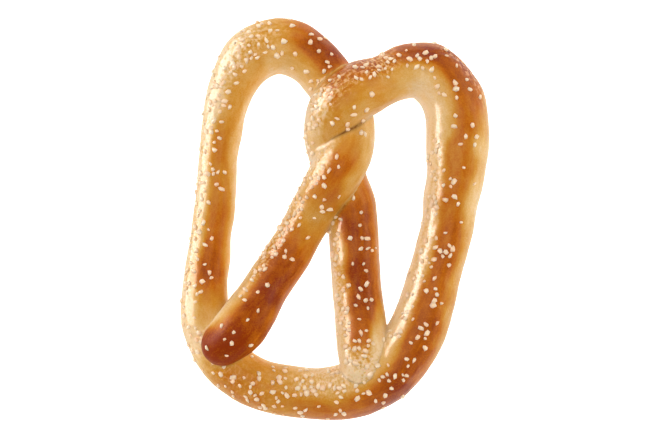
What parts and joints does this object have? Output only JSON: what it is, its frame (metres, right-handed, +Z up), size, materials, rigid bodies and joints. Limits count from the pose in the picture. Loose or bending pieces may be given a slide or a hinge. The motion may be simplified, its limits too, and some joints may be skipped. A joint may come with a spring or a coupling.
{
  "type": "soft pretzel",
  "caption": "Large baked soft pretzel: one knotted rope of dough with a glossy brown crust and coarse white salt, lying flat.",
  "frame": {"origin": "on the flat underside, below the middle of the pretzel's box", "axes": "+Z up from the surface that the pretzel lies on; +Y from the belly towards the two round loops, along its length; +X to its right, seen from above with the loops away from the viewer"},
  "size_m": [0.1197, 0.1639, 0.032],
  "materials": {
    "crust": "glossy baked crust, golden to dark reddish brown, paler in the folds and along the lower sides",
    "salt": "rough white opaque crystals"
  },
  "bodies": {
    "root": {"pretzel_dough": "crust", "salt_grain_01": "salt", "salt_grain_02": "salt", "salt_grain_03": "salt", "salt_grain_04": "salt", "salt_grain_05": "salt", "salt_grain_06": "salt", "salt_grain_07": "salt", "salt_grain_08": "salt", "salt_grain_09": "salt", "salt_grain_10": "salt", "salt_grain_11": "salt", "salt_grain_12": "salt", "salt_grain_13": "salt", "salt_grain_14": "salt", "salt_grain_15": "salt", "salt_grain_16": "salt", "salt_grain_17": "salt", "salt_grain_18": "salt", "salt_grain_19": "salt", "salt_grain_20": "salt", "salt_grain_21": "salt", "salt_grain_22": "salt", "salt_grain_23": "salt", "salt_grain_24": "salt", "salt_grain_25": "salt", "salt_grain_26": "salt", "salt_grain_27": "salt", "salt_grain_28": "salt", "salt_grain_29": "salt", "salt_grain_30": "salt", "salt_grain_31": "salt", "salt_grain_32": "salt", "salt_grain_33": "salt", "salt_grain_34": "salt", "salt_grain_35": "salt", "salt_grain_36": "salt", "salt_grain_37": "salt", "salt_grain_38": "salt", "salt_grain_39": "salt", "salt_grain_40": "salt", "salt_grain_41": "salt", "salt_grain_42": "salt", "salt_grain_43": "salt", "salt_grain_44": "salt", "salt_grain_45": "salt", "salt_grain_46": "salt", "salt_grain_47": "salt", "salt_grain_48": "salt"}
  },
  "joints": []
}
